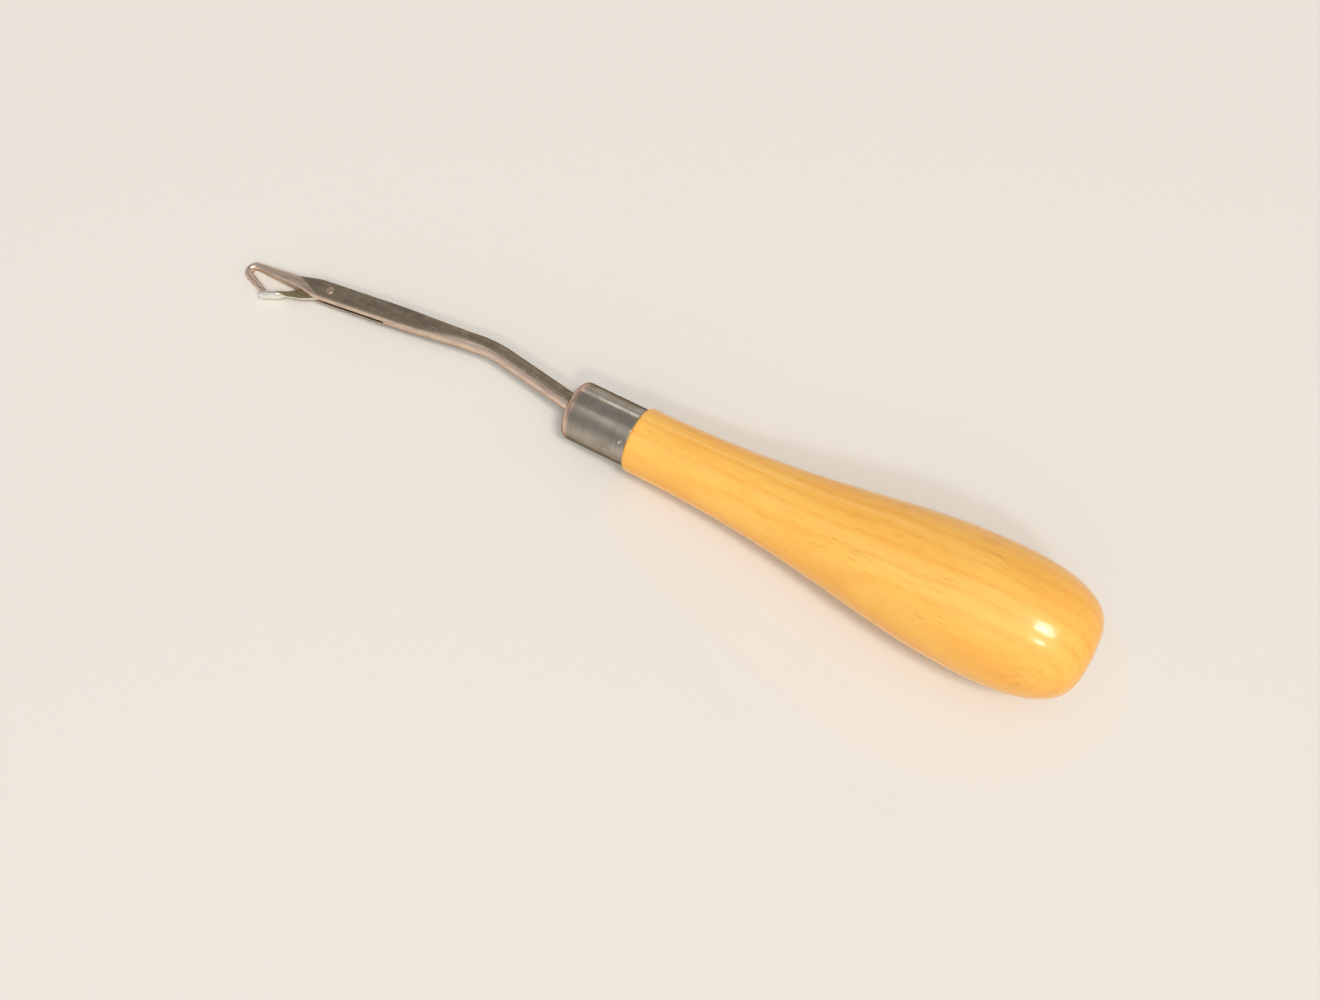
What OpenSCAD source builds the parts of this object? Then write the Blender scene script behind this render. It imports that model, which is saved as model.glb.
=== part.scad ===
// Latch hook tool: a turned wooden handle, a steel ferrule, a cranked steel shank with an open hook, and a
// hinged latch. Millimetres. The tool lies on a table as it would be put down: the belly of the handle and
// the bend of the hook touch Z = 0, the hook points to -X, the crank swells towards +Y, and the hook opens
// towards -Y.

/* [Handle] */
// Length of the wood from the shoulder behind the ferrule to the butt
handle_len = 82.3; // [70:0.1:110]
// Height by which the neck stands proud of the ferrule at the shoulder
shoulder_step = 0.6; // [0.3:0.05:1.5]
// Diameter at the widest part of the belly
belly_d = 23.1; // [18:0.1:32]
// Distance from the butt back to the widest part
butt_reach = 17.3; // [12:0.1:26]
// How strongly the neck stays slim before it swells
neck_pull = 35.2; // [20:0.1:45]
// How strongly the belly stays full in front of its widest part
belly_pull = 19.6; // [8:0.1:24]
// Roundness of the butt along the handle
butt_bow = 2.3; // [1.6:0.1:4]
// Squareness of the butt across the handle
butt_square = 3.6; // [2:0.1:5]
// Space between the tenon's end and the ferrule's front, where the rod bends
front_space = 4.1; // [3.5:0.1:6]

/* [Ferrule] */
// Outer diameter of the ferrule
ferrule_d = 10.7; // [9:0.1:13]
// Length of the ferrule
ferrule_len = 12.7; // [10.5:0.1:16]
// Wall of the ferrule
ferrule_wall = 0.7; // [0.4:0.05:1]
// Rounding of the ferrule's nose
nose_round = 1.1; // [0.8:0.05:1.6]
// Least gap between the rod and the hole in the nose
nose_gap = 0.5; // [0.1:0.05:0.7]
// Radial clearance between the tenon and the ferrule
tenon_clearance = 0.02; // [0.01:0.01:0.05]
// Distance of the punch mark from the shoulder
mark_at = 1; // [0.8:0.1:3]
// Turn of the punch mark round the ferrule, from the top
mark_turn = -42; // [-180:1:180]
// Radius of the punch's ball end
mark_r = 0.6; // [0.4:0.05:1]
// Depth of the punch mark
mark_depth = 0.15; // [0.05:0.01:0.3]

/* [Shank] */
// Diameter of the rod
rod_d = 3.4; // [2.8:0.1:4.1]
// Depth of the tang behind the tenon's front face
tang_depth = 40; // [25:1:60]
// Radial clearance between the tang and its bore
tang_clearance = 0.02; // [0.01:0.01:0.05]
// Angle by which the rod leaves the handle's axis
exit_angle = 8.5; // [5:0.1:9.5]
// Bend radius where the rod leaves the tenon
exit_bend_r = 6; // [4:0.5:10]
// Straight length of rod between the tenon and that bend
exit_straight = 0.4; // [0.2:0.1:1]
// Length of the lower rod between its two bends
lower_len = 22.9; // [18:0.1:30]
// Angle of the crank bend
crank_angle = 15.5; // [12:0.1:18]
// Radius of the crank bend
crank_bend_r = 20; // [10:1:26]
// Distance from the crank bend to the latch's pivot
pivot_at = 33.4; // [28:0.1:40]
// Width of the pressed bar that carries the latch
bar_d = 4.3; // [3.6:0.1:5.2]
// Thickness of the pressed bar between its two flats
bar_thick = 2.8; // [2.4:0.1:3.2]
// Length over which the rod widens behind the bar's full width, from the end of the crank bend
flat_lead = 1.5; // [0.5:0.1:4]
// Length of full-width bar behind the slot
bar_lead = 2; // [1:0.1:4]

/* [Slot] */
// Width of the slot that the latch swings in
slot_w = 0.8; // [0.7:0.05:1]
// Length of the slot behind the pivot
slot_back = 11.9; // [10:0.1:14]
// Gap between the latch's eye and the slot's floor
floor_gap = 0.1; // [0.05:0.01:0.2]
// Gap between the blade and each wall of the slot
blade_gap = 0.1; // [0.05:0.01:0.15]
// Gap between the open latch and the cheeks' edges
rest_gap = 0.12; // [0.05:0.01:0.3]
// Radius of the cutter that runs out at the back of the slot
cutter_r = 8; // [6:0.5:12]
// Distance from the pivot to the front end of the cheeks
cheek_front = 1.9; // [1.6:0.1:2.6]

/* [Hook] */
// Diameter of the hook's wire at its bend
wire_d = 1.4; // [1.2:0.05:1.6]
// Diameter of the hook's back where it leaves the bar
back_d = 2.6; // [2.2:0.05:2.7]
// Thickness of the hook's back there, where the press has left it flatter than round
back_thick = 2.2; // [1.8:0.05:2.2]
// Distance of the hook's back from the bar's middle where it leaves the bar
throat_offset = 0.15; // [0:0.05:0.4]
// Distance from the pivot to the centre of the hook's bend
hook_reach = 16.3; // [14.5:0.1:20]
// Distance from the pivot to the place where the back begins
back_start = 8.1; // [7:0.1:10]
// Centreline radius of the hook's bend
hook_bend_r = 1.25; // [1:0.05:1.6]
// Distance of the hook's back from the bar's middle at its bend
back_offset = 0.65; // [0.4:0.05:0.9]
// Length of the hook's point behind its bend
point_len = 5.3; // [4:0.1:6.5]
// Angle by which the point opens away from the back
point_splay = 27; // [18:0.5:32]
// Diameter of the point's end
point_d = 1.1; // [0.8:0.05:1.3]

/* [Latch] */
// Width of the blade at its eye
eye_d = 2; // [1.8:0.05:2.1]
// Width of the blade's neck in front of the spoon
blade_neck = 0.85; // [0.6:0.05:1.2]
// Length of the blade's taper behind its neck
blade_taper = 3.3; // [2:0.1:5]
// Length of the spoon
spoon_len = 5; // [4:0.1:6]
// Length of the spoon beyond the end of the hook's point
spoon_past = 1.5; // [1.2:0.1:2]
// Gap between the hook's point and each side of the spoon's cup
cup_gap = 0.15; // [0.1:0.01:0.25]
// Depth of the cup's floor beyond the latch's middle line
cup_floor = 0.45; // [0.35:0.05:0.5]
// Depth of the spoon's rim on the other side of that line
rim_depth = 0.35; // [0.3:0.05:0.45]
// Distance from the spoon's start to its cup
cup_lead = 2.3; // [2:0.1:3]
// Wall of the spoon
spoon_wall = 0.3; // [0.2:0.05:0.4]
// Gap between the closed spoon and the hook's point
spoon_gap = 0.12; // [0.08:0.01:0.2]
// How far the latch is open, as a share of its whole swing
latch_open = 0; // [0:0.01:1]
// Diameter of the latch's rivet
rivet_d = 0.76; // [0.6:0.02:0.9]
// Radial clearance of the latch on its rivet
rivet_clearance = 0.04; // [0.02:0.01:0.08]
// Diameter of the rivet's heads
rivet_head_d = 1.5; // [1.2:0.05:1.8]
// Height of the rivet's heads above the flats
rivet_head_h = 0.16; // [0.1:0.02:0.3]

/* [Hidden] */
$fn = 64;

belly_r = belly_d / 2;
rod_r = rod_d / 2;
bar_r = bar_d / 2;
wire_r = wire_d / 2;
back_r = back_d / 2;
back_half = back_thick / 2;
point_r = point_d / 2;
ferrule_r = ferrule_d / 2;
ferrule_bore_r = ferrule_r - ferrule_wall;
tenon_r = ferrule_bore_r - tenon_clearance;
tenon_len = ferrule_len - front_space;
neck_r = ferrule_r + shoulder_step;
tang_bore_r = rod_r + tang_clearance;
belly_at = handle_len - butt_reach;
eps = 0.01;

// The shank is described in the hookward frame: X runs from the shoulder to the hook, Y to the opening side
exit_tangent = exit_bend_r * tan(exit_angle / 2);
crank_tangent = crank_bend_r * tan(crank_angle / 2);
exit_at = tenon_len + exit_straight + exit_tangent;
bar_angle = crank_angle - exit_angle;
crank_x = exit_at + lower_len * cos(exit_angle);
crank_y = -lower_len * sin(exit_angle);
nose_hole_r = (ferrule_len - exit_at) * tan(exit_angle) + rod_r / cos(exit_angle) + nose_gap;

// Places on the bar, measured from the crank bend along the bar and across it
hook_x = pivot_at + hook_reach;
hook_y = hook_bend_r - back_offset;
back_x = pivot_at + back_start;
point_root = [hook_x + hook_bend_r * sin(point_splay), hook_y + hook_bend_r * cos(point_splay)];
point_end = point_root + point_len * [-cos(point_splay), sin(point_splay)];
flat_start = crank_tangent + flat_lead;
slot_end = pivot_at - slot_back;
bar_full = slot_end - bar_lead;
cheek_end = pivot_at + cheek_front;
slot_floor = eye_d / 2 + floor_gap;

// The slot's floor stays flat past the eye, and its ramp comes out of the edge behind the back's start
eye_lead = 0.3;
throat_back = 0.9;
throat_rise = 0.2;

// The latch reaches past the hook's point, and its cup takes the point's end
to_point = point_end - [pivot_at, 0];
latch_len = norm(to_point) + spoon_past;
neck_at = latch_len - spoon_len;
blade_thick = slot_w - 2 * blade_gap;
cup_r = point_r + cup_gap;
spoon_w = 2 * (cup_r + spoon_wall);
keel = cup_floor + spoon_wall;
end_slope = 0.7;
keel_slope = 1.8;
slope_depth = 0.2;
tip_bevel = 0.25;

// Closed, the hook's point sits in the cup with the stated gap; open, the spoon's keel rests over the cheeks
point_in_cup = cup_floor - spoon_gap - point_r;
latch_closed = atan2(to_point[1], to_point[0]) - asin(point_in_cup / norm(to_point));
cheek_edge = sqrt(pow(bar_r, 2) - pow(slot_w / 2, 2)) + rest_gap;
keel_corners = [[neck_at + end_slope, keel - slope_depth], [neck_at + keel_slope, keel]];
open_rest = max([for (p = keel_corners) asin(cheek_edge / norm(p)) + atan2(p[1], p[0])]);
latch_swing = 180 - open_rest - latch_closed;
latch_turn = latch_closed + latch_open * latch_swing;

// Outline of the wood as points [along the handle, radius]
function bezier(a, b, c, d, t) =
    a * pow(1 - t, 3) + 3 * b * pow(1 - t, 2) * t + 3 * c * (1 - t) * t * t + d * pow(t, 3);
neck_steps = 36;
butt_steps = 22;
round_steps = 6;
neck_outline = [for (i = [1:neck_steps]) let (t = i / neck_steps)
    [bezier(0, neck_pull, belly_at - belly_pull, belly_at, t), bezier(neck_r, neck_r, belly_r, belly_r, t)]];
butt_outline = [for (i = [1:butt_steps]) let (a = 90 * i / butt_steps)
    [belly_at + butt_reach * pow(sin(a), 2 / butt_bow), belly_r * pow(max(cos(a), 0), 2 / butt_square)]];
shoulder_outline = [for (i = [0:round_steps]) let (a = 90 * i / round_steps)
    [shoulder_step * (1 - sin(a)), neck_r - shoulder_step * (1 - cos(a))]];
outline = concat([for (i = [round_steps:-1:0]) shoulder_outline[i]], neck_outline, butt_outline);

// The tool tilts until both the belly and the hook's bend touch the table
hook_tip_x = exit_at + lower_len * cos(exit_angle) + hook_x * cos(bar_angle) - hook_y * sin(bar_angle);
hook_span = hook_tip_x + hook_bend_r;
tilt = max([for (p = outline) let (a = p[0] + hook_span)
    atan2(p[1], a) - asin(wire_r / norm([a, p[1]]))]);
axis_z = wire_r + hook_span * sin(tilt);
butt_x = max([for (p = outline) p[0] * cos(tilt) + p[1] * sin(tilt)]);
tip_x = -hook_span * cos(tilt) - wire_r;
middle_x = (butt_x + tip_x) / 2;

// Puts the tool, drawn with its axis on X and its shoulder at the origin, down on the table
module laid_down() {
    translate([-middle_x, 0, axis_z]) rotate([0, -tilt, 0]) children();
}

// Turns the hookward frame into the tool's own frame
module hookward() {
    laid_down() rotate([0, 0, 180]) children();
}

// Frame of the bar: X along it to the hook, Y to the opening side
module on_bar() {
    translate([crank_x, crank_y, 0]) rotate([0, 0, bar_angle]) children();
}

// A rod of radius r from the origin along X
module rod(r, len) {
    rotate([0, 90, 0]) cylinder(h = len, r = r);
}

module handle() {
    color("#E3A95A") laid_down() difference() {
        union() {
            rotate([0, 90, 0]) rotate_extrude()
                polygon(concat([[0, 0]], [for (p = outline) [p[1], p[0]]]));
            rotate([0, -90, 0]) cylinder(h = tenon_len, r = tenon_r);
        }
        translate([-tenon_len - eps, 0, 0]) rotate([0, 90, 0])
            cylinder(h = tang_depth + 1 + eps, r = tang_bore_r);
    }
}

// Profile of the ferrule's wall, [radius, distance from the shoulder]
module ferrule_profile(r, len, corner) {
    square([r, len - corner]);
    square([r - corner, len]);
    translate([r - corner, len - corner]) circle(corner);
}

module ferrule() {
    color("#8E877A") laid_down() rotate([0, -90, 0]) difference() {
        rotate_extrude() difference() {
            ferrule_profile(ferrule_r, ferrule_len, nose_round);
            translate([0, -eps]) ferrule_profile(ferrule_bore_r, ferrule_len - ferrule_wall + eps,
                nose_round - ferrule_wall + 0.1);
            square([nose_hole_r, ferrule_len + 1]);
        }
        rotate([0, 0, mark_turn]) translate([ferrule_r + mark_r - mark_depth, 0, mark_at])
            sphere(mark_r);
    }
}

// A station of the shank is [x, y, heading, radius, half thickness]: a round section cut by two flats
// A bend of n steps from station q, left when a is positive
function bend(q, bend_r, a, n) = let (side = a > 0 ? 1 : -1, r = side * bend_r)
    [for (i = [0:n]) let (turn = q[2] + a * i / n)
        [q[0] + r * (sin(turn) - sin(q[2])), q[1] + r * (cos(q[2]) - cos(turn)), turn, q[3], q[4]]];

// A station given in the bar's frame
function on_bar_at(q) = [crank_x + q[0] * cos(bar_angle) - q[1] * sin(bar_angle),
    crank_y + q[0] * sin(bar_angle) + q[1] * cos(bar_angle), bar_angle + q[2], q[3], q[4]];

// The ring of points round a station
function ring(q) = [for (k = [0:shank_sides - 1]) let (a = 360 * k / shank_sides, across = q[3] * cos(a))
    [q[0] - across * sin(q[2]), q[1] + across * cos(q[2]), max(min(q[3] * sin(a), q[4]), -q[4])]];

shank_sides = 32;
tang_tip = 2;
tang_start = tenon_len - tang_depth;
exit_station = [exit_at - exit_tangent, 0, 0, rod_r, rod_r];
crank_station = [crank_x - crank_tangent * cos(exit_angle), crank_y + crank_tangent * sin(exit_angle),
    -exit_angle, rod_r, rod_r];
exit_steps = 4;
crank_steps = 8;
taper_steps = 6;
hook_steps = 14;
half_thick = bar_thick / 2;
bar_stations = concat([[flat_start, 0, 0, rod_r, rod_r], [bar_full, 0, 0, bar_r, half_thick]],
    [for (i = [0:taper_steps]) let (f = i / taper_steps, blend = f * f * (3 - 2 * f))
        [cheek_end + (back_x - cheek_end) * f, -throat_offset * blend, 0,
            bar_r + (back_r - bar_r) * blend, half_thick + (back_half - half_thick) * f]]);
hook_start = [hook_x, -back_offset, 0, wire_r, wire_r];
point_steps = 3;
point_turn = 180 - point_splay;
point_stations = [for (i = [0:point_steps]) let (a = 85 * i / point_steps, r = point_r * cos(a))
    let (end = point_root + (point_len + point_r * sin(a)) * [cos(point_turn), sin(point_turn)])
        [end[0], end[1], point_turn, r, r]];
hook_stations = concat(bar_stations, bend(hook_start, hook_bend_r, point_turn, hook_steps), point_stations);
stations = concat([[tang_start, 0, 0, rod_r / 2, rod_r], [tang_start + tang_tip, 0, 0, rod_r, rod_r]],
    bend(exit_station, exit_bend_r, -exit_angle, exit_steps),
    bend(crank_station, crank_bend_r, crank_angle, crank_steps),
    [for (q = hook_stations) on_bar_at(q)]);

// The solid through all stations, closed at both ends
module swept(stations) {
    n = shank_sides;
    last = (len(stations) - 1) * n;
    walls = [for (i = [0:len(stations) - 2], k = [0:n - 1]) let (a = i * n + k, b = i * n + (k + 1) % n)
        each [[a, b, b + n], [a, b + n, a + n]]];
    ends = [for (k = [1:n - 2]) each [[0, k + 1, k], [last, last + k, last + k + 1]]];
    polyhedron([for (q = stations) each ring(q)], concat(walls, ends));
}

// Outline of the slot: a cutter's run-out at the back, a flat floor, and a ramp out to the hook's throat
module slot_outline() {
    cutter_y = cutter_r - slot_floor;
    run_out = sqrt(pow(cutter_r, 2) - pow(cutter_y - bar_r, 2));
    intersection() {
        translate([slot_end + run_out, cutter_y]) circle(cutter_r, $fn = 96);
        translate([slot_end - 1, -bar_r]) square([run_out + 1 + eps, 2 * bar_d]);
    }
    ramp_start = pivot_at + eye_d / 2 + eye_lead;
    ramp_end = back_x - throat_back;
    ramp_top = back_r - throat_offset + throat_rise;
    polygon([[slot_end + run_out, -slot_floor], [ramp_start, -slot_floor], [ramp_end, ramp_top],
        [ramp_end + bar_r, bar_d], [slot_end + run_out, bar_d]]);
}

module shank() {
    color("#6F675D") hookward() difference() {
        swept(stations);
        on_bar() {
            linear_extrude(height = slot_w, center = true) slot_outline();
            translate([pivot_at, 0, 0]) cylinder(h = 2 * bar_d, r = rivet_d / 2, center = true);
        }
    }
}

// Outline of the latch's blade: an eye that tapers to the neck
module blade_outline() {
    upper_edge = [[0, eye_d / 2], [neck_at - blade_taper, eye_d / 2], [neck_at, blade_neck / 2],
        [neck_at + 1, blade_neck / 2]];
    circle(eye_d / 2);
    for (side = [0, 1]) mirror([0, side]) polygon(concat(upper_edge, [[neck_at + 1, 0], [0, 0]]));
}

// Two circles of radius r on the latch's line, from one end to the other, and what lies between them
module stadium(from, to, r) {
    translate([from + r, 0]) circle(r);
    translate([to - r, 0]) circle(r);
    translate([from + r, -r]) square([to - from - 2 * r, 2 * r]);
}

// The spoon: a small boat whose cup is open to the hook and takes the end of its point
module spoon() {
    rim = -rim_depth;
    cup_start = neck_at + cup_lead;
    cup_end = latch_len - spoon_wall;
    cup_middle = cup_floor - cup_r;
    difference() {
        intersection() {
            linear_extrude(height = spoon_w, center = true)
                polygon([[neck_at, -blade_neck / 2], [neck_at + end_slope, rim],
                    [latch_len - tip_bevel, rim], [latch_len, rim + tip_bevel],
                    [latch_len - end_slope, keel - slope_depth], [latch_len - keel_slope, keel],
                    keel_corners[1], keel_corners[0], [neck_at, blade_neck / 2]]);
            rotate([90, 0, 0]) linear_extrude(height = 4, center = true)
                stadium(neck_at, latch_len, spoon_w / 2);
        }
        intersection() {
            translate([neck_at, cup_middle, 0]) rod(cup_r, spoon_len);
            rotate([90, 0, 0]) linear_extrude(height = 4, center = true) stadium(cup_start, cup_end, cup_r);
        }
        translate([cup_start + cup_r, rim - 1, -cup_r])
            cube([cup_end - cup_start - 2 * cup_r, cup_middle - rim + 1, 2 * cup_r]);
    }
}

module latch() {
    color("#C4BEB0") hookward() on_bar() translate([pivot_at, 0, 0]) rotate([0, 0, latch_turn]) {
        difference() {
            linear_extrude(height = blade_thick, center = true) blade_outline();
            cylinder(h = slot_w, r = rivet_d / 2 + rivet_clearance, center = true);
        }
        spoon();
    }
}

// The pin across the slot, headed over on both flats
module latch_rivet() {
    color("#9A9488") hookward() on_bar() translate([pivot_at, 0, 0]) {
        cylinder(h = bar_thick, r = rivet_d / 2, center = true);
        for (side = [0, 180]) rotate([side, 0, 0]) translate([0, 0, half_thick])
            cylinder(h = rivet_head_h, r1 = rivet_head_d / 2, r2 = rivet_head_d / 2 - rivet_head_h);
    }
}

handle();
ferrule();
shank();
latch();
latch_rivet();
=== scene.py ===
"""Latch hook tool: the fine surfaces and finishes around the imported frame.

Sizes are in millimetres and are the frame's own. A piece is drawn in one of two working frames: the
handle's, with the handle's axis on X and its shoulder at the origin, or the hook's, in which X runs from
the shoulder to the hook and Y to the side that the hook opens to. The bar and the latch have frames of
their own within the hook's. to_row() lays all of them down in the row frame, in metres.
"""
import math

import bmesh
import bpy
import numpy as np
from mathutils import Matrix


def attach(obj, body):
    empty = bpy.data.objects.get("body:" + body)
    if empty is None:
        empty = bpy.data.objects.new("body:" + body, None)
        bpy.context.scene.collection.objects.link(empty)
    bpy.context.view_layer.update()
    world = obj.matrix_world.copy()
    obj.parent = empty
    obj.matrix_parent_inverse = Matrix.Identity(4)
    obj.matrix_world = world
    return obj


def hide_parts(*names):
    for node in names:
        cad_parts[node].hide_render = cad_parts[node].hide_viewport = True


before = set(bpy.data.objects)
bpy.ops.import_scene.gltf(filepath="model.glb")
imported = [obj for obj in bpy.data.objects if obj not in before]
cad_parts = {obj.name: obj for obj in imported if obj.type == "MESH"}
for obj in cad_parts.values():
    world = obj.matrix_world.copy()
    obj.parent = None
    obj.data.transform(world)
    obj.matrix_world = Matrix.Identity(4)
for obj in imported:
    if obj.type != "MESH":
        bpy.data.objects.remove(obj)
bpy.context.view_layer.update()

# Camera: the photograph's place, aim and lens, for an image of 1320 by 1000
IMAGE_WIDTH = 1320
FOCAL_PIXELS = 1300
SENSOR_WIDTH = 36
CAMERA_AT = (0.0506, -0.0802, 0.2106)
CAMERA_HEADING = 29.7
CAMERA_DIP = 67.8

camera = bpy.data.objects.new("camera", bpy.data.cameras.new("camera"))
bpy.context.scene.collection.objects.link(camera)
bpy.context.scene.camera = camera
camera.location = CAMERA_AT
camera.rotation_euler = (math.radians(90 - CAMERA_DIP), 0, math.radians(CAMERA_HEADING))
camera.data.sensor_width = SENSOR_WIDTH
camera.data.lens = SENSOR_WIDTH * FOCAL_PIXELS / IMAGE_WIDTH
camera.data.clip_start = 0.01

# How the tool lies: the handle's axis rises from the hook to the butt
MM = 0.001
TILT = math.radians(4.31461)
SHOULDER = np.array([0.4189, 0, 6.9143])

# Handle, along it from the shoulder
HANDLE_LEN, BELLY_R, BUTT_REACH = 82.3, 11.55, 17.3
BELLY_AT = HANDLE_LEN - BUTT_REACH
NECK_PULL, BELLY_PULL = 35.2, 19.6
BUTT_BOW, BUTT_SQUARE = 2.3, 3.6
SHOULDER_STEP = 0.6
TANG_BORE_DEPTH, TANG_BORE_R = 41, 1.72
LATHE_RIPPLE = 0.012

# Ferrule and the tenon inside it. The punch mark is turned from the top
FERRULE_R, FERRULE_LEN, FERRULE_WALL = 5.35, 12.7, 0.7
FERRULE_EDGE, NOSE_ROUND, NOSE_INNER_ROUND, NOSE_HOLE_R = 0.12, 1.1, 0.5, 2.7
FERRULE_RIPPLE = 0.006
NECK_R = FERRULE_R + SHOULDER_STEP
TENON_LEN, TENON_CLEARANCE, TENON_CHAMFER = 8.6, 0.02, 0.3
TENON_R = FERRULE_R - FERRULE_WALL - TENON_CLEARANCE
MARK_AT, MARK_TURN, MARK_R, MARK_DEPTH = 1.0, math.radians(-42), 0.6, 0.15

# Rod, along the hook's frame, with its two bends
ROD_R, TANG_START, TANG_TAPER = 1.7, -31.4, 2
EXIT_STRAIGHT_END, EXIT_ANGLE, EXIT_BEND_R = 9.0, math.radians(8.5), 6
LOWER_LEN, CRANK_ANGLE, CRANK_BEND_R = 22.9, math.radians(15.5), 20
CRANK_RUN = CRANK_BEND_R * math.tan(CRANK_ANGLE / 2)
BAR_ANGLE = CRANK_ANGLE - EXIT_ANGLE
EXIT_AT = EXIT_STRAIGHT_END + EXIT_BEND_R * math.tan(EXIT_ANGLE / 2)
CRANK = np.array([EXIT_AT + LOWER_LEN * math.cos(EXIT_ANGLE), -LOWER_LEN * math.sin(EXIT_ANGLE)])

# Bar, along it from the crank's vertex: pressed flat, and slotted for the latch
FLAT_START, BAR_FULL, PIVOT_AT, CHEEK_END = 4.22, 19.5, 33.4, 35.3
BAR_R, HALF_THICK, PRESS_BEGUN, FLAT_EDGE_SOFTNESS = 2.15, 1.4, 0.05, 0.12
SLOT_END, SLOT_HALF, SLOT_FLOOR, CUTTER_R = 21.5, 0.4, 1.1, 8
RAMP_LEAD, RAMP_SHORT, RAMP_RISE = 0.3, 0.9, 0.2
LIP_ROUND, LIP_BURR = 0.12, 0.10
SHANK_RIPPLE, RIPPLE_STEP = 0.008, 0.13
NO_SLOT = 9.0

# Hook: its back is drawn down to wire, and moves aside from the bar's middle towards the bend
BACK_X, BACK_R, BACK_HALF = 41.5, 1.3, 1.1
THROAT_OFFSET, BACK_OFFSET = 0.15, 0.65
WIRE_R, HOOK_X, HOOK_BEND_R = 0.7, 49.7, 1.25
POINT_LEN, POINT_SPLAY, POINT_R = 5.3, math.radians(27), 0.55

# Bright side of the shank, towards the opening: partly worn bright and partly a painted reflection of warm
# light. How bright it is, and where it begins, as a share of the radius across to the opening side. Further
# along, from the slant's start, its edge crosses the flat at a slant, until the whole wire is bright
ROD_SHINE, BAR_SHINE_LOSS, HOOK_SHINE_GAIN = 0.9, 0.12, 0.22
ROD_BRIGHT_FROM, BAR_BRIGHT_SHIFT, ALL_ROUND = 0.35, 0.38, -1.2
SLANT_START, SLANT_EDGE, SLANT_RATE = 35.0, 1.57, 0.47
# Then the bright side's fade as a share of the radius, and the depth in mm by which the slot's painted shade
# is measured
BRIGHT_FADE, SLOT_SHADE_DEPTH = 0.12, 1.5

# Latch, along it from its pivot. The rim and the keel are its two sides, off its middle line
LATCH_CLOSED = math.radians(19.721)
LATCH_LEN, SPOON_LEN, EYE_R = 14.325, 5, 1.0
NECK_AT = LATCH_LEN - SPOON_LEN
BLADE_HALF, NECK_HALF, BLADE_TAPER = 0.3, 0.425, 3.3
SPOON_HALF, RIM, KEEL, TIP_MIDDLE, TIP_ROUND = 1.0, -0.35, 0.75, 0.1, 0.4
CUP_R, CUP_FLOOR, CUP_LEAD, CUP_END_WALL = 0.7, 0.45, 1.9, 0.32
SPOON_RISE_LEAD, SPOON_RISE, SWELL_LEAD, SWELL_LEN = 0.3, 1.9, 0.4, 1.6
TIP_CLOSING, TIP_NARROWING, BLADE_SQUARE, SPOON_SQUARE = 1.3, 1.0, 6, 2.8

# Rivet
RIVET_R, RIVET_BORE_R, RIVET_HEAD_R, RIVET_HEAD_H, RIVET_HEAD_SUNK = 0.38, 0.42, 0.75, 0.16, 0.08

# Lamps stand this many metres from the tool's middle
LAMP_DISTANCE = 0.6

# Meshes: points closer than this, in metres, are one, and a sharper turn than this is an edge
MERGED_WITHIN = 2e-7
SHARP_ANGLE = math.radians(38)


def swung(x, y, angle):
    """The place x, y turned by the angle about the origin."""
    return x * math.cos(angle) - y * math.sin(angle), x * math.sin(angle) + y * math.cos(angle)


def to_row(points):
    """Turns points of the handle's frame by the tilt about Y, moves the shoulder to its place, and scales
    to metres."""
    x, y, z = np.moveaxis(points, -1, 0)
    x, z = swung(x, z, TILT)
    return (np.stack([x, y, z], -1) + SHOULDER) * MM


def hook_to_row(points):
    """The hook's frame is the handle's, turned half round about Z."""
    return to_row(points * np.array([-1, -1, 1]))


def bar_to_row(points):
    """A point of the bar's frame, X along the bar from the crank's vertex, turns by the bar's angle about
    that vertex."""
    x, y, z = np.moveaxis(points, -1, 0)
    x, y = swung(x, y, BAR_ANGLE)
    return hook_to_row(np.stack([x + CRANK[0], y + CRANK[1], z], -1))


def latch_to_row(points):
    """The latch's frame, X along the latch from its pivot, is the bar's, moved to the pivot and turned to
    its closed angle."""
    x, y, z = np.moveaxis(points, -1, 0)
    x, y = swung(x, y, LATCH_CLOSED)
    return bar_to_row(np.stack([x + PIVOT_AT, y, z], -1))


def smooth(t):
    """Rises from 0 to 1 as 3t^2 - 2t^3, and stays at 0 before and at 1 after."""
    t = np.clip(t, 0, 1)
    return t * t * (3 - 2 * t)


def quarter(t):
    """Falls from 1 to 0 as a quarter circle while t goes from 0 to 1, and stays at 1 before and at 0
    after."""
    return np.sqrt(1 - np.clip(t, 0, 1) ** 2)


def between(first, second, share):
    """The first value at a share of 0, the second at 1, and in proportion between them."""
    return first + (second - first) * share


def even(points, count):
    """The same line with count points at equal distances along it."""
    run = np.append(0, np.cumsum(np.linalg.norm(np.diff(points, axis=0), axis=1)))
    at = np.linspace(0, run[-1], count)
    return np.stack([np.interp(at, run, column) for column in points.T], -1)


def arc(centre, radius, start, end, count):
    """Points on a circle from the start angle to the end angle, in degrees."""
    angle = np.radians(np.linspace(start, end, count))
    return np.array(centre) + radius * np.stack([np.cos(angle), np.sin(angle)], -1)


def bend(start, heading, radius, turn, count):
    """Places and headings along a bend that turns left when turn is positive."""
    steps = heading + np.linspace(0, turn, count)
    r = math.copysign(radius, turn)
    x = start[0] + r * (np.sin(steps) - math.sin(heading))
    y = start[1] + r * (math.cos(heading) - np.cos(steps))
    return np.stack([x, y, steps], -1)


def turned(profile, sides):
    """Surface of revolution about X: a profile point (x, r) goes round as (x, r cos a, r sin a)."""
    a = np.linspace(0, 2 * np.pi, sides, endpoint=False)
    x, r = profile[:, :1], profile[:, 1:]
    return np.stack([x + 0 * a, r * np.cos(a), r * np.sin(a)], -1)


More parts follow.
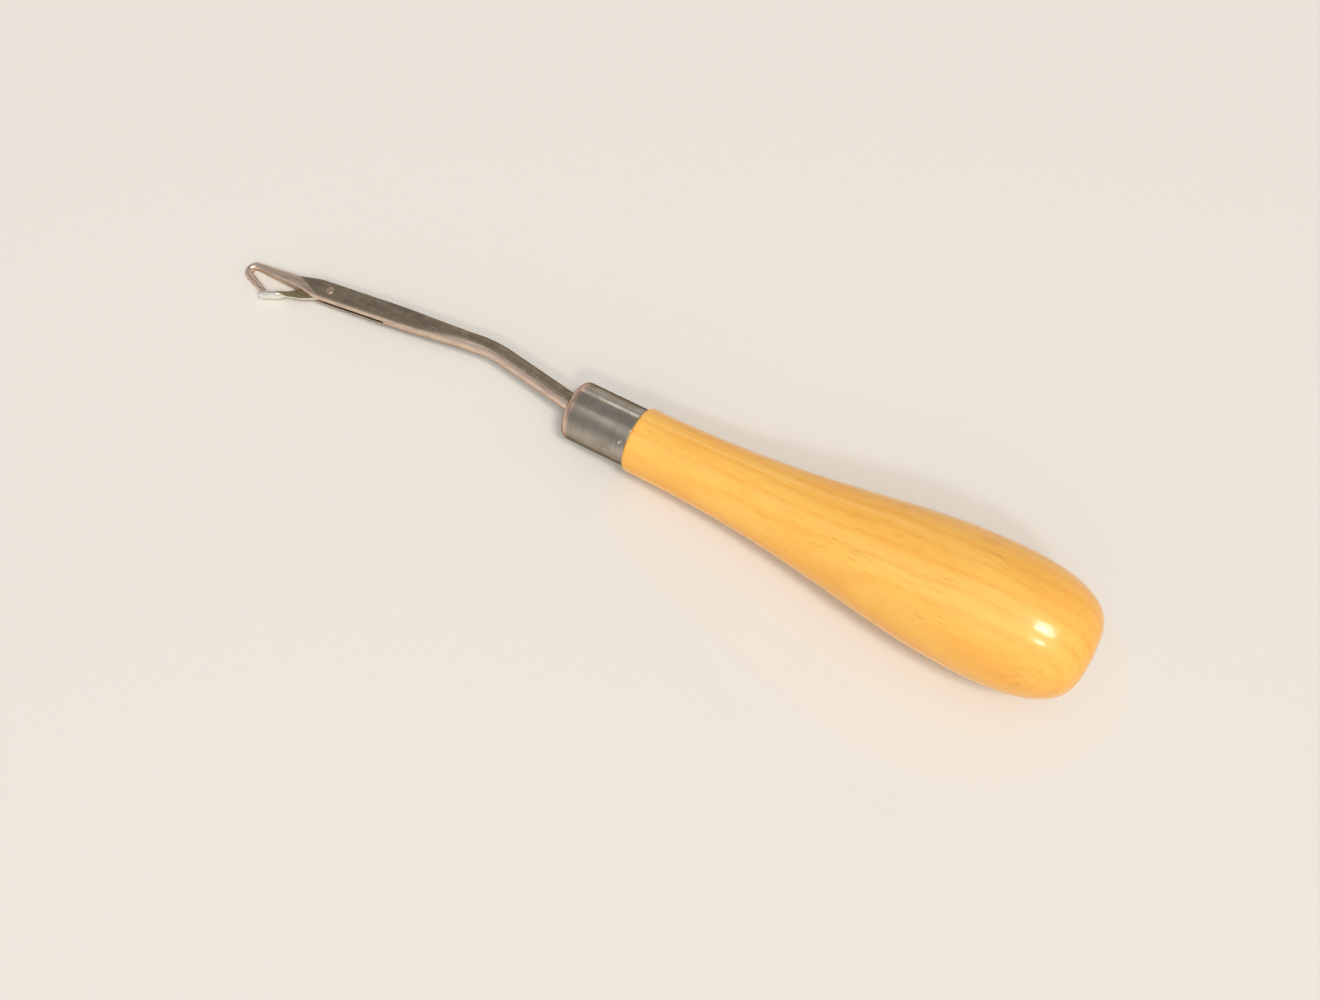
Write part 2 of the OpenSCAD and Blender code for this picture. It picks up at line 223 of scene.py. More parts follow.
def unevenness(along, around, seed, waves=9, shortest=1.2, longest=9.0):
    """Between about -1 and 1: a sum of sine waves with wavelengths in mm along the piece and whole turns
    round it."""
    pick = np.random.default_rng(seed)
    total = 0
    for _ in range(waves):
        wave = 2 * np.pi / pick.uniform(shortest, longest)
        total = total + np.sin(wave * along + pick.integers(0, 4) * around + pick.uniform(0, 2 * np.pi))
    return total / math.sqrt(2 * waves)


def skin(name, grid, wrap=False, **shares):
    """A closed smooth mesh over a grid of points: its rows follow each other along the piece, and the
    points of a row go round it. wrap joins the last row to the first; otherwise both end rows are single
    points. Each share is an attribute, given for every point of the grid."""
    rows, around = grid.shape[:2]
    index = np.arange(rows * around).reshape(rows, around)
    here, ahead = (index, np.roll(index, -1, 0)) if wrap else (index[:-1], index[1:])
    faces = np.stack([here, np.roll(here, -1, 1), np.roll(ahead, -1, 1), ahead], -1).reshape(-1, 4)
    mesh = bpy.data.meshes.new(name)
    mesh.from_pydata(grid.reshape(-1, 3).tolist(), [], faces.tolist())
    for share, values in shares.items():
        attribute = mesh.attributes.new(share, "FLOAT", "POINT")
        attribute.data.foreach_set(
            "value", np.broadcast_to(values, (rows, around)).astype(np.float32).ravel())
    built = bmesh.new()
    built.from_mesh(mesh)
    bmesh.ops.remove_doubles(built, verts=built.verts, dist=MERGED_WITHIN)
    if built.calc_volume(signed=True) < 0:
        bmesh.ops.reverse_faces(built, faces=built.faces)
    built.to_mesh(mesh)
    built.free()
    mesh.polygons.foreach_set("use_smooth", np.ones(len(mesh.polygons), bool))
    mesh.set_sharp_from_angle(angle=SHARP_ANGLE)
    piece = bpy.data.objects.new(name, mesh)
    bpy.context.scene.collection.objects.link(piece)
    return piece


def bored(piece, grid):
    """The piece less what lies inside the grid's closed skin, which is cut away and then dropped."""
    cutter = skin("cutter", grid)
    cut = piece.modifiers.new("bore", "BOOLEAN")
    cut.operation, cut.object, cut.solver = "DIFFERENCE", cutter, "EXACT"
    seen = piece.evaluated_get(bpy.context.evaluated_depsgraph_get())
    mesh = bpy.data.meshes.new_from_object(seen)
    piece.modifiers.clear()
    piece.data = mesh
    bpy.data.objects.remove(cutter)
    return piece


def handle_profile():
    """From the tang bore's end out of the tenon, over it to the shoulder, and along the wood to the
    butt's pole. The neck and belly are one cubic curve, level at both ends, and the butt is a
    superellipse."""
    bore_end = -TENON_LEN + TANG_BORE_DEPTH
    inside = [[bore_end, 0], [bore_end, TANG_BORE_R], [-TENON_LEN, TANG_BORE_R],
              [-TENON_LEN, TENON_R - TENON_CHAMFER], [-TENON_LEN + TENON_CHAMFER, TENON_R],
              [0, TENON_R], [0, FERRULE_R]]
    shoulder = arc((SHOULDER_STEP, FERRULE_R), SHOULDER_STEP, 180, 92, 9)
    t = np.linspace(0, 1, 400)
    pulls = np.stack([(1 - t) ** 3, 3 * (1 - t) ** 2 * t, 3 * (1 - t) * t ** 2, t ** 3], -1)
    corners = np.array([[SHOULDER_STEP, NECK_R], [NECK_PULL, NECK_R],
                        [BELLY_AT - BELLY_PULL, BELLY_R], [BELLY_AT, BELLY_R]])
    a = np.linspace(0, np.pi / 2, 4000)
    butt = np.stack([BELLY_AT + BUTT_REACH * np.sin(a) ** (2 / BUTT_BOW),
                     BELLY_R * np.maximum(np.cos(a), 0) ** (2 / BUTT_SQUARE)], -1)
    outside = even(np.vstack([pulls @ corners, butt[1:]]), 230)
    return np.vstack([inside, shoulder, outside])


def make_handle():
    """The turned wood, with a lathe's faint ripple that only takes material away, and none of it on the
    tenon or at the shoulder and the butt's pole."""
    grid = turned(handle_profile(), 200)
    along, radius = grid[..., 0], np.hypot(grid[..., 1], grid[..., 2])
    around = np.arctan2(grid[..., 2], grid[..., 1])
    outside = smooth((along - 1) / 4) * smooth((radius - TENON_R) / 0.5) * smooth((HANDLE_LEN - along) / 6)
    ripple = LATHE_RIPPLE * outside * (unevenness(along, around, 3, longest=16, shortest=4) - 1)
    grid[..., 1:] *= 1 + (ripple / np.maximum(radius, 1))[..., None]
    return skin("turned_handle", to_row(grid))


def ferrule_profile():
    """A closed loop: the outer wall, the round nose, the hole's edge, and back inside along the bore."""
    front, inner_r = FERRULE_LEN - FERRULE_WALL, FERRULE_R - FERRULE_WALL
    steps = np.linspace(FERRULE_EDGE, FERRULE_LEN - NOSE_ROUND, 110)[1:]
    wall = np.stack([steps, np.full_like(steps, FERRULE_R)], -1)
    return np.vstack([
        arc((FERRULE_EDGE, FERRULE_R - FERRULE_EDGE), FERRULE_EDGE, 180, 90, 5), wall,
        arc((FERRULE_LEN - NOSE_ROUND, FERRULE_R - NOSE_ROUND), NOSE_ROUND, 88, 0, 20),
        arc((FERRULE_LEN - FERRULE_EDGE, NOSE_HOLE_R + FERRULE_EDGE), FERRULE_EDGE, 0, -90, 5),
        [[front, NOSE_HOLE_R]],
        arc((front - NOSE_INNER_ROUND, inner_r - NOSE_INNER_ROUND), NOSE_INNER_ROUND, 0, 90, 8),
        [[0, inner_r]]])


def make_ferrule():
    """The cap, with the punch mark sunk where a ball has been pressed into the wall."""
    grid = turned(ferrule_profile(), 320)
    along, around = grid[..., 0], np.arctan2(grid[..., 2], grid[..., 1])
    radius = np.hypot(grid[..., 1], grid[..., 2])
    on_wall = radius > FERRULE_R - 0.01
    from_mark = around - (np.pi / 2 - MARK_TURN)
    aside = FERRULE_R * np.arctan2(np.sin(from_mark), np.cos(from_mark))
    off = np.hypot(along - MARK_AT, aside)
    pressed = FERRULE_R + MARK_R - MARK_DEPTH - np.sqrt(np.maximum(MARK_R ** 2 - off ** 2, 0))
    sunk = np.where((off < MARK_R) & on_wall, np.minimum(radius, pressed), radius)
    sunk = sunk + FERRULE_RIPPLE * (unevenness(along, around, 5, shortest=3) - 1) * on_wall
    grid[..., 1:] *= (sunk / radius)[..., None]
    # A painted pinkish highlight lies on the nose from just behind its round edge, and less towards its hole
    nose = smooth((along - FERRULE_LEN + NOSE_ROUND + 0.6) / 0.7)
    nose = nose * smooth((radius - NOSE_HOLE_R - 0.9) / 0.8)
    return skin("steel_ferrule", to_row(grid * np.array([-1, 1, 1])), wrap=True, rubbed=nose)


def slot_level(x):
    """Level of the slot's floor along the bar: the cutter's circle at the back, flat, then a ramp to the
    throat."""
    run_out = math.sqrt(CUTTER_R ** 2 - (CUTTER_R - SLOT_FLOOR - BAR_R) ** 2)
    from_flat = np.clip(SLOT_END + run_out - x, 0, CUTTER_R)
    back = CUTTER_R - SLOT_FLOOR - np.sqrt(CUTTER_R ** 2 - from_flat ** 2)
    ramp_start, ramp_end = PIVOT_AT + EYE_R + RAMP_LEAD, BACK_X - RAMP_SHORT
    ramp_top = BACK_R - THROAT_OFFSET + RAMP_RISE
    ramp = -SLOT_FLOOR + (x - ramp_start) / (ramp_end - ramp_start) * (ramp_top + SLOT_FLOOR)
    return np.maximum(back, ramp)


def rod_stations():
    """The tang, the bend at the tenon, the lower rod that leaves the handle's axis, and the crank's
    bend."""
    crank_start = CRANK - CRANK_RUN * np.array([math.cos(EXIT_ANGLE), -math.sin(EXIT_ANGLE)])
    tang = [[TANG_START, 0, 0], [TANG_START, 0, 0], [TANG_START + TANG_TAPER, 0, 0], [0, 0, 0]]
    out = bend((EXIT_STRAIGHT_END, 0), 0, EXIT_BEND_R, -EXIT_ANGLE, 10)
    lower = np.linspace(out[-1], [*crank_start, -EXIT_ANGLE], 40)[1:-1]
    crank = bend(crank_start, -EXIT_ANGLE, CRANK_BEND_R, CRANK_ANGLE, 40)
    line = np.vstack([tang, out, lower, crank])
    radius = np.full(len(line), ROD_R)
    radius[:2] = 0, ROD_R / 2
    rubbed = np.full((len(line), 3), (NO_SLOT, ROD_SHINE, ROD_BRIGHT_FROM))
    return np.column_stack([line, radius, radius, rubbed])


def bar_stations():
    """The bar, pressed flat as far as the cheeks go, and the hook's back, drawn down to its wire. In the
    bar's frame."""
    x = np.concatenate([np.arange(CRANK_RUN + 0.3, SLOT_END - 1, 0.3),
                        np.arange(SLOT_END - 1, BACK_X + 2, 0.1), np.arange(BACK_X + 2, HOOK_X, 0.2)])
    flattening = (x - FLAT_START) / (BAR_FULL - FLAT_START)
    press = smooth(flattening * (1 - 2 * PRESS_BEGUN) + PRESS_BEGUN)
    neck = smooth((x - CHEEK_END) / (BACK_X - CHEEK_END))
    draw = np.clip((x - BACK_X) / (HOOK_X - BACK_X), 0, 1)
    radius = between(between(ROD_R, BAR_R, press), between(BACK_R, WIRE_R, draw), neck)
    half = between(between(ROD_R, HALF_THICK, press), between(BACK_HALF, WIRE_R, draw), neck)
    aside = -THROAT_OFFSET * neck - (BACK_OFFSET - THROAT_OFFSET) * draw
    # The bright side, partly worn bright and partly a painted reflection: how bright it is, and where it
    # begins
    shine = ROD_SHINE - BAR_SHINE_LOSS * smooth((x - 5) / 8) + HOOK_SHINE_GAIN * smooth((x - SLANT_START) / 6)
    slanted = (SLANT_EDGE - SLANT_RATE * (x - SLANT_START)) / radius
    begins = np.minimum(ROD_BRIGHT_FROM + BAR_BRIGHT_SHIFT * smooth((x - 3) / 12), slanted)
    return np.column_stack([x, aside, 0 * x, radius, half, slot_level(x) - aside, shine, begins])


def hook_stations():
    """The hook's bend, and its point, which thins out to a round end. In the bar's frame."""
    splay = np.pi - POINT_SPLAY
    crown = bend((HOOK_X, -BACK_OFFSET), 0, HOOK_BEND_R, splay, 70)
    a = np.concatenate([np.zeros(24), np.linspace(0, np.pi / 2, 12)[1:]])
    run = np.concatenate([np.linspace(0.2, POINT_LEN, 24), POINT_LEN + POINT_R * np.sin(a[24:])])
    taper = between(WIRE_R, POINT_R, np.clip(run / POINT_LEN, 0, 1))
    point = crown[-1, :2] + run[:, None] * np.array([math.cos(splay), math.sin(splay)])
    line = np.vstack([crown, np.column_stack([point, np.full(len(a), splay)])])
    radius = np.concatenate([np.full(len(crown), WIRE_R), taper * np.cos(a)])
    radius[-1] = 0
    # The hook's wire is bright all round: partly worn bright, partly a painted reflection
    rubbed = np.full((len(line), 3), (NO_SLOT, 1.0, ALL_ROUND))
    return np.column_stack([line, radius, radius, rubbed])


def shank_stations():
    """One row per station, in the hook's frame: x, y, heading, radius, half thickness, slot level, how
    bright its bright side is, and where across it that side begins. That side is partly worn bright and
    partly a painted reflection."""
    on_bar = np.vstack([bar_stations(), hook_stations()])
    on_bar[:, :2] = np.stack(swung(on_bar[:, 0], on_bar[:, 1], BAR_ANGLE), -1) + CRANK
    on_bar[:, 2] += BAR_ANGLE
    return np.vstack([rod_stations(), on_bar])


def make_shank():
    """Each station's ring is a circle of its radius, pressed to its half thickness with soft edges, and
    notched by the slot with rounded lips. In a ring, u runs across to the opening side and z up."""
    place_x, place_y, heading, radius, half, level, shine, begins = shank_stations().T[..., None]
    ring_points = 96
    lip = np.clip(np.sqrt(np.maximum(radius ** 2 - SLOT_HALF ** 2, 0)) - level, 0, LIP_ROUND)
    # The ring begins at the upper lip, and on thin wire no higher than three quarters of its radius
    start_z = np.minimum(SLOT_HALF + lip, 0.75 * radius)
    start = np.arcsin(np.divide(start_z, radius, out=np.zeros_like(radius), where=radius > 0))
    around = start + (2 * np.pi - 2 * start) * np.linspace(0, 1, ring_points)
    soft = FLAT_EDGE_SOFTNESS * (radius - half) + 1e-4
    rise = radius * np.abs(np.sin(around))
    pressed_z = -soft * np.logaddexp(-rise / soft, -half / soft)
    wave = unevenness(np.arange(len(radius))[:, None] * RIPPLE_STEP, around, 11)
    wear = 1 + SHANK_RIPPLE * (wave - 1) * smooth((half - POINT_R) / 0.5)
    # A burr stands out along the slot's lower lip, and not on the hook's wire
    slotted = smooth((lip - 0.02) / 0.05) * (half > POINT_R + 0.2)
    burr = LIP_BURR * slotted * smooth((2 * np.pi - start - around) / -0.32 + 1) * (around > np.pi)
    outer_u = (radius + burr) * np.cos(around) * wear
    outer_z = np.sign(np.sin(around)) * np.maximum(pressed_z, 0) * wear

    # The notch: lower lip, lower wall, floor, upper wall, upper lip
    t = np.linspace(0, np.pi / 2, 5)
    lip_centre = np.sqrt(np.maximum(radius ** 2 - start_z ** 2, 0)) * wear[:, :1] - lip
    wall_z = np.minimum(SLOT_HALF, start_z)
    lip_u, lip_z = lip_centre + lip * np.cos(t), wall_z + lip - lip * np.sin(t)
    low_lip_u = lip_centre + (outer_u[:, -1:] - lip_centre) * np.cos(t)
    bottom = np.minimum(level, lip_centre)
    wall_u = lip_centre + (bottom - lip_centre) * np.linspace(0, 1, 8)[1:]
    floor_z = wall_z * np.linspace(-1, 1, 9)[1:-1]
    floor_u = np.minimum(level, np.sqrt(np.maximum(radius ** 2 - floor_z ** 2, 0)) * wear[:, :1])
    walls_z = wall_z + 0 * wall_u
    u = np.hstack([outer_u, low_lip_u, wall_u, floor_u, wall_u[:, ::-1], lip_u[:, ::-1]])
    z = np.hstack([outer_z, -lip_z, -walls_z, floor_z + 0 * floor_u, walls_z, lip_z[:, ::-1]])

    # The side towards the opening takes the bright pinkish colour: partly worn bright, partly a painted
    # reflection of warm light
    rubbed = smooth((np.cos(around) - begins) / BRIGHT_FADE) * shine
    deep_wall = lip_centre - wall_u
    depth = np.hstack([0 * outer_u, 0 * lip_u, deep_wall, lip_centre - floor_u, deep_wall[:, ::-1],
                       0 * lip_u])
    # The whole notch takes the full bright colour; on its lips that is a painted highlight
    rubbed = np.hstack([rubbed, shine + 0 * depth[:, ring_points:]])
    grid = np.stack([place_x - u * np.sin(heading), place_y + u * np.cos(heading), z], -1)
    # The slot's walls and floor get a near black painted shade that deepens with their depth
    return skin("cranked_shank", hook_to_row(grid), rubbed=rubbed,
                recess=np.clip(depth / SLOT_SHADE_DEPTH, 0, 1))


def make_latch():
    """Each station's ring is a superellipse: thin and tall along the blade, wide and low at the spoon.
    The side towards the hook is notched by the spoon's cup, with straight walls and a round floor."""
    ends = 1 - np.cos(np.linspace(0, np.pi / 2, 14))
    tip = TIP_ROUND * np.sin(np.linspace(0, np.pi / 2, 14))
    x = np.concatenate([-EYE_R + EYE_R * ends, np.linspace(0, NECK_AT - BLADE_TAPER, 20)[1:],
                        np.arange(NECK_AT - BLADE_TAPER + 0.2, NECK_AT, 0.2),
                        np.arange(NECK_AT, LATCH_LEN - TIP_ROUND, 0.06),
                        LATCH_LEN - TIP_ROUND + tip])[:, None]
    blade = quarter(-x) * EYE_R
    blade = blade + (NECK_HALF - EYE_R) * np.clip((x - NECK_AT + BLADE_TAPER) / BLADE_TAPER, 0, 1)
    spoon = smooth((x - NECK_AT + SPOON_RISE_LEAD) / SPOON_RISE)
    closing = quarter((x - LATCH_LEN + TIP_CLOSING) / TIP_CLOSING)
    top = between(TIP_MIDDLE, between(-blade, RIM, spoon), closing)
    keel = between(TIP_MIDDLE, between(blade, KEEL, spoon), closing)
    swell = quarter(1 - (x - NECK_AT + SWELL_LEAD) / SWELL_LEN) ** 2
    narrowing = quarter((x - LATCH_LEN + TIP_NARROWING) / TIP_NARROWING)
    thick = np.minimum(between(BLADE_HALF, SPOON_HALF, swell), SPOON_HALF * narrowing)
    power = 2 / between(BLADE_SQUARE, SPOON_SQUARE, spoon)

    # The cup is as wide as the ball of radius CUP_R that would roll along it
    to_end = np.maximum(np.maximum(NECK_AT + CUP_LEAD + CUP_R - x, x - LATCH_LEN + CUP_END_WALL + CUP_R), 0)
    cup = np.sqrt(np.clip(CUP_R ** 2 - to_end ** 2, 0, None))
    tall, centre = (keel - top) / 2, (keel + top) / 2
    gap = np.clip(cup / np.maximum(thick, 1e-6), 0, 0.86)
    start = np.arcsin(gap ** (1 / power))
    around = start + (2 * np.pi - 2 * start) * np.linspace(0, 1, 72)
    ring_y = centre - tall * np.sign(np.cos(around)) * np.abs(np.cos(around)) ** power
    ring_z = thick * np.sign(np.sin(around)) * np.abs(np.sin(around)) ** power
    lip_y = ring_y[:, :1]
    wall_end = between(lip_y, CUP_FLOOR - CUP_R, np.sqrt(cup / CUP_R))
    wall_y = lip_y + (wall_end - lip_y) * np.linspace(0, 1, 5)[1:]
    half_gap = ring_z[:, :1]
    across = np.sin(np.linspace(-np.pi / 2, np.pi / 2, 16))[1:-1]
    floor_y = wall_end + cup * np.sqrt(1 - across ** 2)
    y = np.hstack([ring_y, wall_y, floor_y, wall_y[:, ::-1]])
    z = np.hstack([ring_z, -half_gap + 0 * wall_y, half_gap * across, half_gap + 0 * wall_y])
    y[0], z[0] = 0, 0
    y[-1], z[-1] = TIP_MIDDLE, 0

    # The spoon and the blade's two narrow edges, from the eye on, take the near white colour as a painted
    # highlight
    edge = smooth((np.abs(y - centre) / np.maximum(tall, 1e-6) - 0.965) / 0.03) * smooth((x - 1) / 2)
    grid = np.stack([x + 0 * y, y, z], -1)
    piece = skin("hinged_latch", latch_to_row(grid), rubbed=np.maximum(spoon, edge))
    reach = 1.0
    bore = turned(np.array([[-reach, 0], [-reach, RIVET_BORE_R], [reach, RIVET_BORE_R], [reach, 0]]), 48)
    return bored(piece, latch_to_row(bore[..., [1, 2, 0]]))


def make_rivet():
    """A pin with a low dome at each end."""
    dome_r = (RIVET_HEAD_R ** 2 + RIVET_HEAD_H ** 2) / (2 * RIVET_HEAD_H)
    r = RIVET_HEAD_R * np.linspace(0, 1, 14)
    dome = np.stack([HALF_THICK + RIVET_HEAD_H - dome_r + np.sqrt(dome_r ** 2 - r ** 2), r], -1)
    under = HALF_THICK - RIVET_HEAD_SUNK
    head = np.vstack([dome, [[under, RIVET_HEAD_R], [under, RIVET_R]]])
    profile = np.vstack([head, head[::-1] * np.array([-1, 1])])
    points = turned(profile, 72)
    return skin("peened_rivet", bar_to_row(points[..., [1, 2, 0]] + np.array([PIVOT_AT, 0, 0])))


def linear(code):
    """An sRGB hex colour as linear red, green, blue and alpha."""
    srgb = np.array([int(code[i:i + 2], 16) for i in (1, 3, 5)]) / 255
    channels = np.where(srgb <= 0.04045, srgb / 12.92, ((srgb + 0.055) / 1.055) ** 2.4)
    return (*channels.tolist(), 1.0)


def add(tree, kind, sockets, output=None, **settings):
    """Adds a node with its settings, fills its sockets with values or links, and returns one of its
    outputs."""
    made = tree.nodes.new("ShaderNode" + kind)
    for name, value in settings.items():
        setattr(made, name, value)
    inputs = {socket.identifier: socket for socket in made.inputs}
    for name, value in sockets.items():
        if isinstance(value, bpy.types.NodeSocket):
            tree.links.new(value, inputs[name])
        else:
            inputs[name].default_value = value
    outputs = {socket.identifier: socket for socket in made.outputs}
    return outputs[output] if output else made


def new_material(name):
    """A material with no nodes in it yet."""
    material = bpy.data.materials.new(name)
    material.use_nodes = True
    material.node_tree.nodes.clear()
    return material, material.node_tree


def finish_material(tree, sockets, bump=None):
    """Ends a material in one shader with these sockets, and a bump if one is given."""
    if bump is not None:
        sockets = {**sockets, "Normal": bump}
    shader = add(tree, "BsdfPrincipled", sockets, "BSDF")
    add(tree, "OutputMaterial", {"Surface": shader})


def patterns(tree, sizes):
    """Noise patterns in the handle's directions. Each one's sizes are its grain along the tool and across
    it in mm, its shift, its detail and its roughness, and the patterns come back in the same order, after
    the place in mm that they are drawn on."""
    place = add(tree, "TexCoord", {}, "Object")
    grain = add(tree, "Mapping", {"Vector": place, "Rotation": (0, TILT, 0), "Scale": (1 / MM,) * 3},
                "Vector")
    made = []
    for along, across, shift, detail, roughness in sizes:
        scale = (1 / along, 1 / across, 1 / across)
        stretched = add(tree, "Mapping", {"Vector": grain, "Location": shift, "Scale": scale}, "Vector")
        made.append(add(tree, "TexNoise", {"Vector": stretched, "Scale": 1.0, "Detail": detail,
                                           "Roughness": roughness}, "Fac"))
    return grain, made


def layered(tree, colour, layers):
    """Lays colours over the first one. A layer is a pattern, the levels between which it comes in, its
    full share and its colour."""
    for pattern, low, high, share, shade in layers:
        amount = add(tree, "MapRange", {"Value": pattern, "From Min": low, "From Max": high,
                                        "To Max": share}, "Result")
        colour = add(tree, "Mix", {"Factor_Float": amount, "A_Color": colour, "B_Color": linear(shade)},
                     "Result_Color", data_type="RGBA")
    return colour


def varnished_beech():
    """Turned beech under a glossy amber varnish: warm yellow wood, faint growth rings, short dark flecks
    along the grain, and a clear coat that shines and deepens the colour where it is seen at a slant. The
    flecks, which are 3 mm long and 0.3 mm wide, come in patches: their own pattern and that of the
    patches are both high there."""
    material, tree = new_material("varnished_beech")
    grain, (broad, fibres, flecks, patches, dips) = patterns(tree, [
        (20, 6.2, (0, 0, 0), 3, 0.55), (6.2, 0.42, (0, 0, 0), 3, 0.6), (3.3, 0.31, (0, 0, 0), 1, 0.4),
        (14, 6.2, (9, 4, 2), 1, 0.5), (6.2, 3.3, (0, 0, 0), 2, 0.5)])
    # The tree's heart is 21 mm and 17 mm off the handle's axis, and its rings are 2.6 mm apart
    centred = add(tree, "Mapping", {"Vector": grain, "Location": (0, 21, -17)}, "Vector")
    rings = add(tree, "TexWave", {"Vector": centred, "Scale": 0.12, "Distortion": 5.5, "Detail": 2.0,
                                  "Detail Scale": 0.25}, "Fac", wave_type="RINGS", rings_direction="X")
    clustered = add(tree, "Math", {"Value": flecks, "Value_001": patches}, "Value", operation="MULTIPLY")
    colour = layered(tree, linear("#FFF2AE"), [
        (broad, 0.3, 0.7, 1.0, "#FEE294"), (rings, 0.55, 1.0, 0.24, "#F2BE66"),
        (fibres, 0.5, 0.75, 0.30, "#E8AC5A"), (clustered, 0.37, 0.45, 0.2, "#B87A36")])
    bump = add(tree, "Bump", {"Height": fibres, "Strength": 0.12, "Distance": 0.05 * MM}, "Normal")
    coat_bump = add(tree, "Bump", {"Height": dips, "Strength": 0.35, "Distance": 0.3 * MM}, "Normal")
    finish_material(tree, {"Base Color": colour, "Roughness": 0.5, "IOR": 1.45, "Coat Weight": 1.0,
                           "Coat Roughness": 0.18, "Coat IOR": 1.4, "Coat Tint": linear("#FAD59B"),
                           "Coat Normal": coat_bump}, bump)
    return material


def steel(name, dull, stained, rubbed, roughness, rubbed_roughness, stain_mm, scratch_mm, scratch="#5B5148",
          bump_mm=0.01, slant="#94897E", spotting=0.0, recess=0.0):
    """Bare steel gone dull: a dull colour with stains of a second one, fine scratches, and a third colour,
    by the piece's own attribute, where it is worn bright and where highlights and reflections are painted
    on. scratch_mm is a scratch's size along the tool and across it, slant the tint at a slant, and spotting
    the share of small worn spots in the third colour. The last argument is the share of a near black painted
    shade that deepens into a slot, by an attribute too."""
    material, tree = new_material(name)
    along, across = scratch_mm
    _, (stains, scratches, spots) = patterns(tree, [
        (stain_mm, stain_mm, (0, 0, 0), 5, 0.62), (along, across, (0, 0, 0), 3, 0.6),
        (0.9, 0.62, (5, 3, 8), 3, 0.55)])
    # The third colour's attribute: worn bright places, and painted highlights and reflections
    part = add(tree, "Attribute", {}, "Fac", attribute_name="rubbed")
    # The slot's painted shade, by an attribute
    deep = add(tree, "Attribute", {}, "Fac", attribute_name="recess")
    colour = layered(tree, linear(dull), [
        (stains, 0.38, 0.66, 1.0, stained), (spots, 0.62, 0.74, spotting, rubbed),
        (part, 0.0, 1.0, 1.0, rubbed), (scratches, 0.48, 0.78, 0.45, scratch),
        (deep, 0.0, 0.3, recess, "#1D1815")])
    rough = add(tree, "MapRange", {"Value": part, "To Min": roughness, "To Max": rubbed_roughness}, "Result")
    uneven = add(tree, "MapRange", {"Value": stains, "From Min": 0.3, "From Max": 0.7, "To Min": -0.06,
                                    "To Max": 0.08}, "Result")
    rough = add(tree, "Math", {"Value": rough, "Value_001": uneven}, "Value", operation="ADD")
    height = add(tree, "Math", {"Value": stains, "Value_001": scratches}, "Value", operation="ADD")
    bump = add(tree, "Bump", {"Height": height, "Strength": 0.4, "Distance": bump_mm * MM}, "Normal")
    finish_material(tree, {"Base Color": colour, "Metallic": 1.0, "Roughness": rough,
                           "Specular Tint": linear(slant)}, bump)
    return material


def drawn_steel():
    """Sheet steel drawn to a cap and polished: grey, with fine lines round it and a warmer nose whose
    pinkish colour is a painted highlight."""
    return steel("drawn_steel", "#BBB4A9", "#A69D90", "#E3C2AF", 0.24, 0.22, 5.0, (0.3, 9.0),
                 scratch="#8A8176", slant="#7A7068")


def aged_steel_rod():
    """Rolled steel rod that has aged: grey-brown stained flats, a pinkish side that is partly worn bright
    and partly a painted reflection, and a slot darkened by painted shade."""
    return steel("aged_steel_rod", "#AB9D89", "#8D8072", "#F3DAC8", 0.42, 0.31, 2.2, (5.0, 0.5),
                 bump_mm=0.03, spotting=0.4, recess=0.93)


def plated_latch_steel():
    """Plated sheet steel: a near white spoon and blade edges, which are a painted highlight, and a yellowed
    blade where the plate is dull."""
    return steel("plated_latch_steel", "#BFB08C", "#A0936F", "#FFFEF8", 0.34, 0.3, 1.6, (4.0, 0.3),
                 slant="#C8C2B8")


def peened_steel():
    """Hammered rivet heads: warm and brighter than the flats round them, with no direction in their
    marks."""
    return steel("peened_steel", "#E3C8B2", "#B39D88", "#F1DECE", 0.34, 0.3, 0.8, (0.6, 0.6))


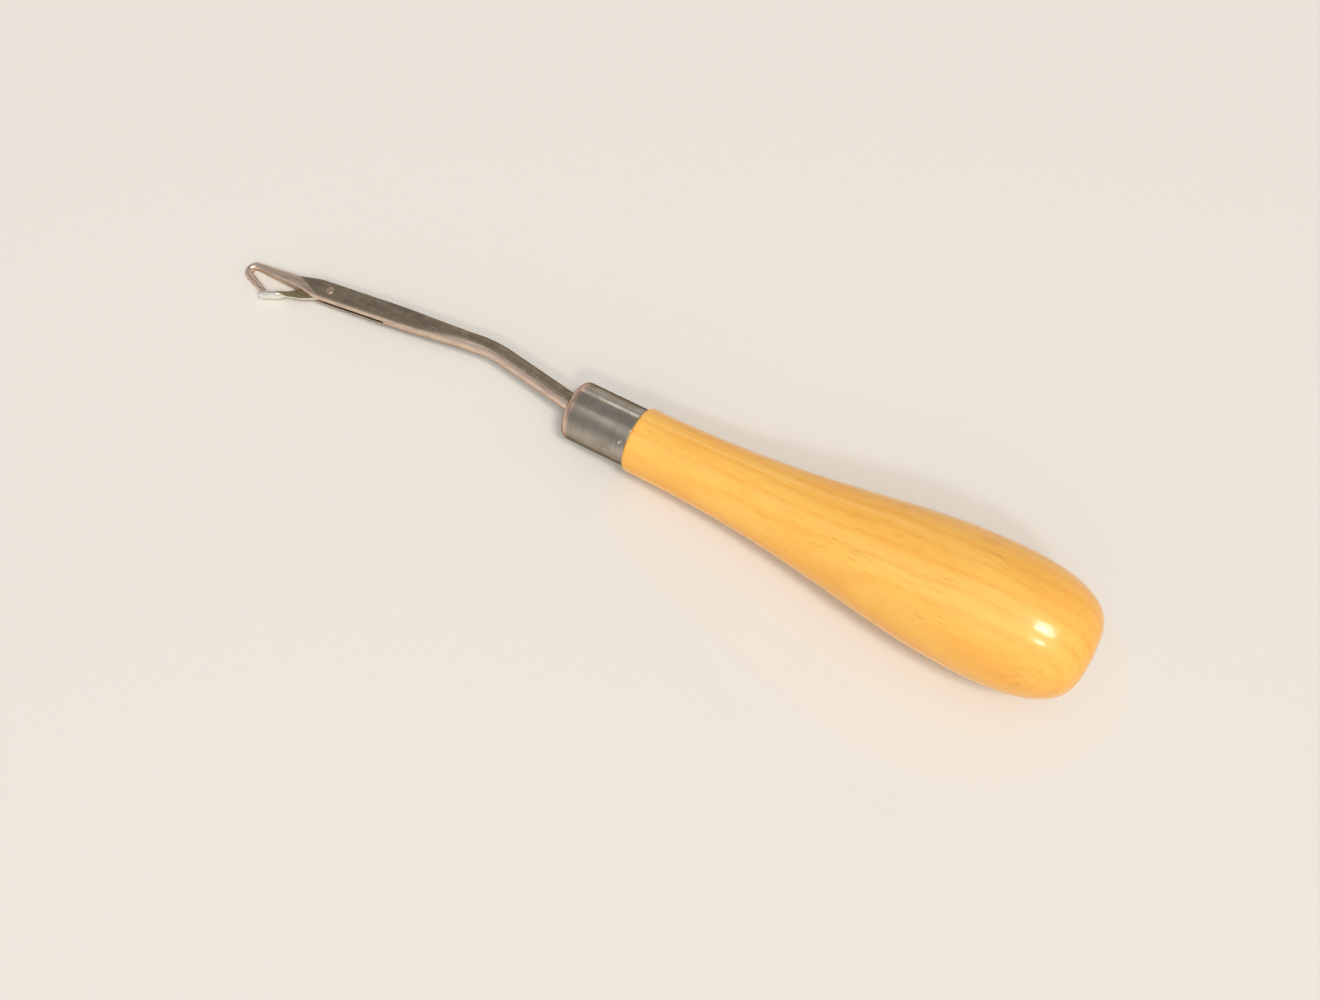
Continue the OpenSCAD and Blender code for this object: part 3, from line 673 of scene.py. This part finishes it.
def add_lamp(name, kind, towards, colour, **settings):
    """A lamp that shines from that direction on the tool's middle, at the lamps' distance from it."""
    lamp = bpy.data.objects.new(name, bpy.data.lights.new(name, kind))
    bpy.context.scene.collection.objects.link(lamp)
    lamp.data.color = linear(colour)[:3]
    for setting, value in settings.items():
        setattr(lamp.data, setting, value)
    towards = np.array(towards) / np.linalg.norm(towards)
    lamp.location = (LAMP_DISTANCE * towards).tolist()
    lamp.rotation_euler = (math.acos(towards[2]), 0, math.atan2(towards[1], towards[0]) + math.pi / 2)


def add_world():
    """A pale world that darkens from the horizon up to 30 degrees above it."""
    world = bpy.data.worlds.new("studio")
    bpy.context.scene.world = world
    world.use_nodes = True
    tree = world.node_tree
    tree.nodes.clear()
    way = add(tree, "TexCoord", {}, "Generated")
    height = add(tree, "SeparateXYZ", {"Vector": way}, "Z")
    strength = add(tree, "MapRange", {"Value": height, "From Max": 0.5, "To Min": 0.80, "To Max": 0.38},
                   "Result")
    sky = add(tree, "Background", {"Color": linear("#F8F6F3"), "Strength": strength}, "Background")
    add(tree, "OutputWorld", {"Surface": sky})


def make_stage():
    """A pale floor under the tool, the world, a wide soft panel behind the camera, and three softened
    suns. The key and a weaker one give the varnish its two highlights at the butt, and a faint one from
    the far side draws the bright line along the ferrule."""
    bpy.ops.mesh.primitive_plane_add(size=20)
    floor = bpy.context.object
    floor.name = "floor"
    material, tree = new_material("pale_floor")
    finish_material(tree, {"Base Color": linear("#E2E0DC"), "Roughness": 0.9})
    floor.data.materials.append(material)
    add_world()
    add_lamp("panel", "AREA", (0.22, -0.35, 0.91), "#FFFAF4", size=0.8, energy=1.2)
    add_lamp("key", "SUN", (0.37, -0.19, 0.91), "#FFF8EE", energy=1.4, angle=math.radians(12))
    add_lamp("second", "SUN", (0.385, -0.53, 0.755), "#FFF8EE", energy=0.44, angle=math.radians(6))
    add_lamp("far_side", "SUN", (-0.356, 0.815, 0.456), "#FFF6EC", energy=0.04, angle=math.radians(9))


make_stage()
bpy.context.scene.view_settings.view_transform = "Standard"

pieces = [
    (make_handle(), "root", "handle", "varnished_beech", varnished_beech()),
    (make_ferrule(), "root", "ferrule", "ferrule_steel", drawn_steel()),
    (make_shank(), "root", "shank", "shank_steel", aged_steel_rod()),
    (make_latch(), "latch", "latch", "latch_steel", plated_latch_steel()),
    (make_rivet(), "root", "latch_rivet", "rivet_steel", peened_steel()),
]
for piece, body, node, slot, material in pieces:
    piece.data.materials.append(material)
    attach(piece, body)
    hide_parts(node)
